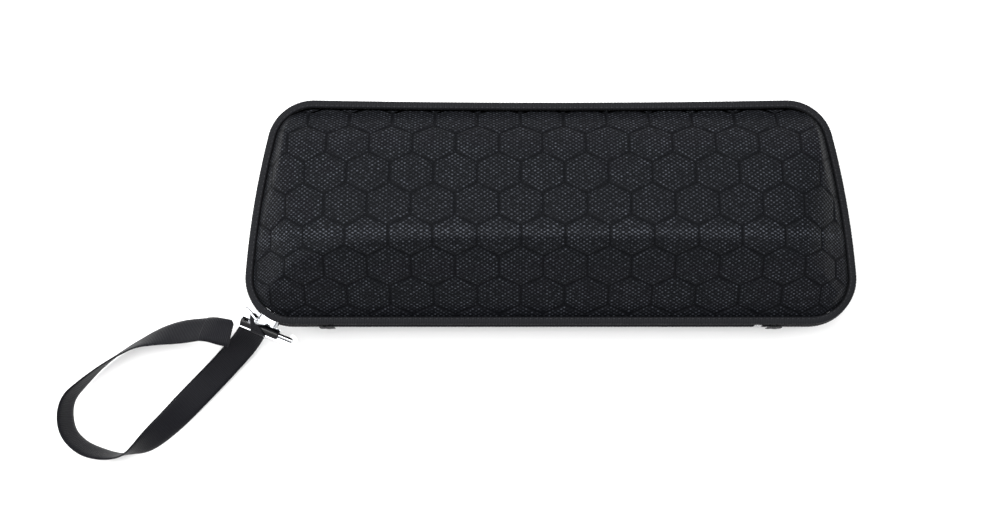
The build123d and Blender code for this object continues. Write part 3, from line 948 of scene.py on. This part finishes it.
for body_name, low in binding_low.items():
    binding(body_name, low)
lid_seam = put_on(stitches("lid_seam", 3.5, 39.45, 0.0, 0.0, perimeter), "lid", "binding")
base_seam = put_on(stitches("base_seam", 3.2, 24.5, 0.0, 0.0, perimeter), "base", "binding")
print("bindings and stitches made")

# %% [markdown]
# The zip is a coil zip: two woven tapes with a nylon wire coiled along each edge. Closed, the loops show as
# a fine row of beads. It runs from one front corner round the ends and back, and stops on the spine side.

# %% Zip tapes and teeth
zip_start, zip_stop_at = 110.0, perimeter - 110.0
tooth_pitch = 1.5


def zip_tape(body, side):
    low, high = zip_z + side * 0.15, zip_z + side * 4.6
    section = pillow_section(2.8, 3.5, min(low, high), max(low, high), 0.25, 3)
    piece = band(f"{body}_tape", section, zip_tape_cloth, zip_start, zip_stop_at, 1.0, closed=False)
    return put_on(piece, body, "zip_tape", f"{body}_zip_tape")


def zip_teeth(body, side):
    """Each tooth is a small rounded loop of wire, wider at its outer end."""
    at = np.arange(zip_start + 1, zip_stop_at - 1, tooth_pitch) + (0.375 if side > 0 else -0.375)
    spots, ways = on_outline(at)
    tangents = np.stack([-ways[:, 1], ways[:, 0]], 1)
    profile = [(2.85, 0.30), (2.2, 0.46), (1.2, 0.52), (0.55, 0.56), (0.3, 0.36)]
    sides = 6
    points, faces = [], []
    for k in range(len(at)):
        for inset, size in profile:
            for t in np.linspace(0, 2 * math.pi, sides, endpoint=False):
                spot = spots[k] - ways[k] * inset + tangents[k] * size * 1.15 * math.cos(t)
                points.append((*spot, zip_z + side * 0.80 + size * 1.1 * math.sin(t)))
        first = k * sides * len(profile)
        faces += list(grid_faces(len(profile), sides, False, True, start=first))
        faces += [tuple(first + np.arange(sides)), tuple(first + sides * (len(profile) - 1) + np.arange(sides)[::-1])]
    piece = recalculate(add_mesh(f"{body}_teeth", points, faces, coil_nylon))
    return put_on(piece, body, "zip_coil", f"{body}_zip_coil")


for body_name, side in (("lid", 1), ("base", -1)):
    zip_tape(body_name, side)
    teeth = zip_teeth(body_name, side)
print("teeth a side", len(teeth.data.vertices) // 30)

# %% [markdown]
# Along the spine there is no zip. A strip of the cloth joins lid and base there as the hinge, with a
# lining gusset inside it, and the zip's two ends are covered by small folded tabs.


def across_hinge(piece, slot_name, *nodes):
    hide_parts(*nodes)
    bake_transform(piece)
    return piece


def spine_section(inset, thickness, low, high, bulge, count=11):
    """A strip's section, its outer face slightly bowed outwards."""
    heights = np.linspace(low, high, count)
    bow = bulge * np.sin(np.pi * (heights - low) / (high - low))
    outer = [(inset - b, z) for b, z in zip(bow, heights)]
    return outer + [(i + thickness, z) for i, z in outer[::-1]]


def spine_band(name, section, material, half_length, step):
    """A strip along the spine, as long each way from its middle as half_length."""
    return band(name, section, material, perimeter - half_length, perimeter + half_length, step, closed=False)


spine = spine_band("spine_cloth", spine_section(2.5, 0.9, 27.2, 36.8, 0.45), base_cloth, 109.7, 1.5)
across_hinge(spine, "hex_fabric", "spine_strip")
gusset = spine_band("inner_gusset_cloth", spine_section(4.75, 0.5, 27.4, 36.6, 0.0), lining_cloth, 108.0, 3.0)
across_hinge(gusset, "lining", "inner_gusset")


def end_tab(name, node):
    """A folded scrap of binding tape sewn over the end of the zip."""
    low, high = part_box(node)
    centre = (Vector(low) + Vector(high)) / 2 / mm
    half = (Vector(high) - Vector(low)) / 2 / mm
    points, cloth = [], []
    columns, rows = 17, 13
    for face in (1, -1):
        for j in range(rows):
            for i in range(columns):
                u, v = i / (columns - 1) * 2 - 1, j / (rows - 1) * 2 - 1
                edge = max(abs(u), abs(v))
                plump = (1 - edge**4) * (0.75 + 0.25 * math.cos(6 * u + 2 * v))
                points.append(
                    (
                        centre.x + u * half.x * (1 - 0.06 * v * v),
                        centre.y - face * half.y * plump,
                        centre.z + v * half.z * (1 - 0.05 * u * u),
                    )
                )
                cloth.append((u * half.x, v * half.z))
    count = columns * rows
    faces = list(grid_faces(rows, columns)) + list(grid_faces(rows, columns, start=count)[:, ::-1])
    walk = edge_walk(columns, rows)
    faces += [(here, there, count + there, count + here) for here, there in zip(walk, walk[1:] + walk[:1])]
    piece = recalculate(add_mesh(name, points, faces, binding_tape, cloth))
    return across_hinge(piece, "binding", node)


for place in ("left", "right"):
    end_tab(f"tab_{place}", f"zip_end_tab_{place}")

# %% [markdown]
# Metal parts keep the frame's own shapes, which are already exact, with their edges rounded by a bevel
# so that they catch light as plated castings do. The pocket, its hem, the elastic band and its patches
# keep the frame's shapes too, with a cloth finish.

# %% Slider, link, clip and bolt
node_finish = {
    "slider_body": (chrome, 0.35),
    "pull_link": (chrome, 0.25),
    "clip_frame": (chrome, 0.45),
    "clip_barrel": (barrel_black, 0.35),
    "clip_bolt": (chrome, 0.3),
    "bolt_spring": (steel, 0.0),
    "zip_stop": (steel, 0.25),
    "paddle_retainer": (elastic_tape, 0.3),
    "retainer_patch_front": (lining_cloth, 0.2),
    "retainer_patch_back": (lining_cloth, 0.2),
    "mesh_pocket": (pocket_net, 0.2),
    "pocket_hem": (binding_tape, 0.25),
}
for node_name, (finish, rounding) in node_finish.items():
    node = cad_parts[node_name]
    node.data.materials.clear()
    node.data.materials.append(finish)
    if rounding:
        bevel = node.modifiers.new("rounded", "BEVEL")
        bevel.width = rounding * mm
        bevel.segments = 3
        bevel.limit_method = "ANGLE"
        bevel.angle_limit = math.radians(35)
        bevel.harden_normals = False
print("hard parts finished", len(node_finish))

# %% [markdown]
# The slider's pull is a short tab of webbing that wraps the clip's barrel and narrows to the metal link.
# On the slider, the loop that holds the link is slim, so it is a small plate drawn round the pivot.

# %% Pull tab and slider loop
barrel_centre = Vector((-144.5, -57.6, 23.6))
barrel_way = Vector((math.cos(math.radians(-22)), math.sin(math.radians(-22)), 0))
link_point = Vector((-148.42, -51.38, 29.9))


def pull_tab():
    """A teardrop loop of webbing, wide round the barrel and narrow at the link."""
    shift = (link_point - barrel_centre).dot(barrel_way)
    rise = link_point - barrel_centre - barrel_way * shift
    far = rise.length
    rise.normalize()
    side = barrel_way.cross(rise)
    wide, narrow = 3.55, 1.25
    lean = math.asin((wide - narrow) / far)
    turns = list(np.linspace(math.pi / 2 - lean, 2 * math.pi - math.pi / 2 + lean, 30))
    path = [(wide * math.cos(t), wide * math.sin(t)) for t in turns]
    tip_turns = np.linspace(-math.pi / 2 + lean, math.pi / 2 - lean, 12)
    tip = [(far + narrow * math.cos(t), narrow * math.sin(t)) for t in tip_turns]
    link_up = [(np.array(path[-1]) * (1 - f) + np.array(tip[0]) * f) for f in np.linspace(0.1, 0.9, 8)]
    link_down = [(np.array(tip[-1]) * (1 - f) + np.array(path[0]) * f) for f in np.linspace(0.1, 0.9, 8)]
    loop = np.array([*path, *link_up, *tip, *link_down])
    run = np.concatenate([[0], np.cumsum(np.linalg.norm(np.diff(loop, axis=0), axis=1))])
    across = np.linspace(-1, 1, 9)
    points, cloth = [], []
    for k, (p, q) in enumerate(loop):
        share = min(max(p / far, 0), 1)
        half = 3.9 * (1 - share) + 1.3 * share
        middle = shift * share - 1.2 * (1 - share)
        out = np.array(loop[(k + 1) % len(loop)]) - np.array(loop[k - 1])
        out = np.array([out[1], -out[0]]) / max(np.linalg.norm(out), 1e-6)
        for depth, sense in ((0.0, 1), (0.75, -1)):
            for u in across[::sense]:
                edge = 0.2 * abs(u) ** 6
                p2, q2 = p - out[0] * (depth + sense * edge), q - out[1] * (depth + sense * edge)
                spot = barrel_centre + barrel_way * (middle + u * half) + rise * p2 + side * q2
                points.append(tuple(spot))
                cloth.append((run[k], u * half + (20 if sense < 0 else 0)))
    ring = 2 * len(across)
    return recalculate(add_mesh("pull_tab", points, grid_faces(len(loop), ring, True, True), strap_webbing, cloth))


put_on(pull_tab(), "pull", "webbing", "pull_cord")


zip_corner = Vector((-128.6, -33.5, 0))  # the middle of the zip's bend round the front left corner
loop_eye = (230.5, 27.2, 1.65)  # direction in degrees from that middle, distance and radius
loop_root = (238.0, 25.9, 1.0)
loop_half_height = 1.2


def slider_loop():
    """A slim plate on the slider's face, with a round eye for the link."""
    shape = bmesh.new()
    for turn, reach, radius in (loop_eye, loop_root):
        turn = math.radians(turn)
        centre = zip_corner + Vector((math.cos(turn), math.sin(turn), 0)) * reach
        for height in (zip_z - loop_half_height, zip_z + loop_half_height):
            for t in np.linspace(0, 2 * math.pi, 20, endpoint=False):
                rim = centre + Vector((radius * math.cos(t), radius * math.sin(t), height))
                shape.verts.new(rim * mm)
    bmesh.ops.convex_hull(shape, input=shape.verts)
    bmesh.ops.dissolve_limit(shape, angle_limit=0.02, verts=shape.verts, edges=shape.edges)
    data = bpy.data.meshes.new("slider_loop")
    shape.to_mesh(data)
    shape.free()
    data.shade_smooth()
    data.materials.append(chrome)
    piece = bpy.data.objects.new("slider_loop", data)
    bpy.context.scene.collection.objects.link(piece)
    bevel = piece.modifiers.new("rounded", "BEVEL")
    bevel.width, bevel.segments = 0.35 * mm, 3
    bevel.limit_method, bevel.angle_limit = "ANGLE", math.radians(35)
    return piece


put_on(slider_loop(), "slider", "chrome", "slider_crown")
print("pull tab reaches", [round(x, 1) for x in link_point])

# %% [markdown]
# The wrist strap is one flat length of ribbed webbing, 14 mm wide, folded into a loop and sewn at the clip.
# It leaves the clip nearly flat, turns up on its edge, leans round the far end of the loop, and comes back
# lying flat on the table. A ribbon is swept along a smooth curve, rolled to match as it goes.
# The sewn fold at the clip is a second, shorter and thicker ribbon.

# %% Wrist strap
strap_route = [
    (-0.1727, -0.0574, 0.0218), (-0.186, -0.058, 0.015), (-0.199, -0.06, 0.011), (-0.21, -0.0635, 0.0086),
    (-0.2205, -0.0695, 0.0078), (-0.23, -0.0765, 0.0075), (-0.238, -0.084, 0.0074), (-0.2445, -0.0905, 0.0072),
    (-0.2465, -0.099, 0.007), (-0.2445, -0.109, 0.0069), (-0.2375, -0.116, 0.0069), (-0.23, -0.119, 0.0069),
    (-0.222, -0.1205, 0.0069), (-0.2155, -0.12, 0.0069), (-0.2085, -0.1165, 0.0067), (-0.202, -0.1115, 0.0054),
    (-0.1925, -0.1025, 0.004), (-0.182, -0.091, 0.0027), (-0.1705, -0.079, 0.0026), (-0.1605, -0.068, 0.0034),
    (-0.1545, -0.062, 0.008), (-0.151, -0.058, 0.014),
]
# each point's roll in degrees: 0 and 180 lie flat, 90 stands on edge
strap_rolls = [148, 154, 132, 109, 101, 91, 81, 75, 66, 63, 60, 61, 72, 80, 114, 136, 150, 172, 180, 177, 168, 158]
strap_width, strap_thickness = 13.9, 1.1
rib_pitch, rib_depth = 0.9, 0.05


def smooth_route(route):
    """The points of a smooth curve guided by the route, evenly spaced, and each one's share of the way."""
    data = bpy.data.curves.new("strap_route", "CURVE")
    data.dimensions = "3D"
    data.resolution_u = 24
    spline = data.splines.new("NURBS")
    spline.points.add(len(route) - 1)
    for point, place in zip(spline.points, route):
        point.co = (*place, 1.0)
    spline.order_u = 3
    spline.use_endpoint_u = True
    guide = bpy.data.objects.new("strap_route", data)
    bpy.context.scene.collection.objects.link(guide)
    line = bpy.data.meshes.new_from_object(guide)
    points = np.array([v.co for v in line.vertices])
    bpy.data.objects.remove(guide)
    bpy.data.meshes.remove(line)
    run = np.concatenate([[0], np.cumsum(np.linalg.norm(np.diff(points, axis=0), axis=1))])
    even = np.linspace(0, run[-1], int(run[-1] / 0.00026))
    return np.stack([np.interp(even, run, points[:, k]) for k in range(3)], 1), even


strap_line, strap_run = smooth_route(strap_route)


def soften(values, width):
    """A running average along the first axis that keeps the ends."""
    padded = np.concatenate([np.repeat(values[:1], width, 0), values, np.repeat(values[-1:], width, 0)])
    total = np.cumsum(np.concatenate([np.zeros_like(padded[:1]), padded]), 0)
    return (total[2 * width + 1 :] - total[: -2 * width - 1]) / (2 * width + 1)


def ribbon(name, route, rolls, thickness):
    """Webbing along a route: a thin rounded rectangle with fine ribs across it, rolled as it goes."""
    line, run = smooth_route(route)
    nearest = [int(np.linalg.norm(line - p, axis=1).argmin()) for p in np.array(route)]
    roll = np.radians(soften(np.interp(np.arange(len(line)), nearest, rolls), 24))
    ahead = np.gradient(line, axis=0)
    ahead /= np.linalg.norm(ahead, axis=1)[:, None]
    side = np.cross(ahead, (0, 0, 1))
    side /= np.linalg.norm(side, axis=1)[:, None]
    side = soften(side, 14)
    side /= np.linalg.norm(side, axis=1)[:, None]
    up = np.cross(side, ahead)
    across = side * np.cos(roll)[:, None] + up * np.sin(roll)[:, None]
    face = np.cross(ahead, across)
    half_width, half_thickness = strap_width / 2 * mm, thickness / 2 * mm
    rib = 0.5 + 0.5 * np.cos(2 * math.pi * run / (rib_pitch * mm))
    ring, cloth_across = [], []
    spots = np.linspace(-1, 1, 9)
    for sense in (1, -1):
        for u in spots[::sense]:
            edge = abs(u) ** 6
            ring.append((u * half_width, sense * half_thickness * (1 - 0.75 * edge), sense * (1 - edge)))
            cloth_across.append(u * strap_width / 2 + (20 if sense < 0 else 0))
    points = np.stack([line + across * a + face * (b + r * rib_depth * mm * rib)[:, None] for a, b, r in ring], 1)
    rings = len(ring)
    faces = list(grid_faces(len(points), rings, False, True))
    faces += [tuple(range(rings)), tuple((len(points) - 1) * rings + np.arange(rings)[::-1])]
    cloth = np.stack(np.broadcast_arrays(run[:, None] * 1000, np.array(cloth_across)[None, :]), 2)
    flat = points.reshape(-1, 3) / mm
    flat[:, 2] = np.maximum(flat[:, 2], 0.05)
    return recalculate(add_mesh(name, flat, faces, strap_webbing, cloth.reshape(-1, 2)))


fold_route = [
    (-0.1602, -0.0600, 0.0236), (-0.1660, -0.0588, 0.0238), (-0.1708, -0.0575, 0.0228), (-0.1745, -0.0574, 0.0208),
]
fold_rolls = [180, 172, 158, 149]
fold_thickness = 2.6
fold_piece = ribbon("strap_end_fold", fold_route, fold_rolls, fold_thickness)
put_on(fold_piece, "clip", "webbing", "strap_fold")
strap = ribbon("wrist_strap_webbing", strap_route, strap_rolls, strap_thickness)
put_on(strap, "clip", "webbing", "wrist_strap")

# %% [markdown]
# A pale floor and large soft lights: one broad panel behind and above for the sheen on the long slope,
# one at the left, one overhead, and a bright surround so that shadows stay faint.

# %% Floor and lights


def floor():
    """A wide pale table top, whose colour barely varies."""
    data = bpy.data.meshes.new("floor")
    data.from_pydata([(-3, -3, 0), (3, -3, 0), (3, 3, 0), (-3, 3, 0)], [], [(0, 1, 2, 3)])
    pale = Material("pale_table", (0.9, 0.9, 0.9), 0.8, specular=0.1)
    pale.colour(pale.noise(60.0), (0.89, 0.89, 0.89), (0.91, 0.91, 0.91))
    data.materials.append(pale.data)
    ground = bpy.data.objects.new("floor", data)
    bpy.context.scene.collection.objects.link(ground)
    ground.location.z = -0.0002
    ground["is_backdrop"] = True


def soft_light(name, place, aim, size, watts):
    """A large square lamp that points at a place."""
    data = bpy.data.lights.new(name, "AREA")
    data.shape = "RECTANGLE"
    data.size, data.size_y = size
    data.energy = watts
    lamp = bpy.data.objects.new(name, data)
    lamp.location = place
    lamp.rotation_euler = (Vector(aim) - Vector(place)).to_track_quat("-Z", "Y").to_euler()
    bpy.context.scene.collection.objects.link(lamp)


floor()
soft_light("panel_back", (-0.25, 0.75, 0.95), (0, 0, 0), (1.2, 0.5), 10)
soft_light("panel_left", (-1.0, 0.15, 0.9), (0, 0, 0), (0.6, 0.8), 8)
soft_light("panel_top", (-0.12, -0.12, 1.5), (0, 0, 0), (0.9, 0.5), 12)


def surround(bright, low):
    """A sky that is bright overhead and dim near the horizon, which gives plated metal its dark edges."""
    world = bpy.data.worlds.new("surround")
    world.use_nodes = True
    tree = world.node_tree
    way = tree.nodes.new("ShaderNodeTexCoord")
    split = tree.nodes.new("ShaderNodeSeparateXYZ")
    tree.links.new(way.outputs["Generated"], split.inputs[0])
    height = Channel(tree, split.outputs[2])
    strength = ((height - 0.12) / 0.45).higher_of(0.0).lower_of(1.0) * (bright - low) + low
    tree.links.new(strength.socket, tree.nodes["Background"].inputs[1])
    tree.nodes["Background"].inputs[0].default_value = (1.0, 1.0, 1.0, 1.0)
    bpy.context.scene.world = world


surround(1.25, 0.2)
bpy.context.scene.view_settings.view_transform = "Standard"

# %% [markdown]
# Last comes the box of what is seen.

# %% Sizes
low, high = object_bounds()
print("visual box", [round(float(x), 4) for x in (*low, *high)])
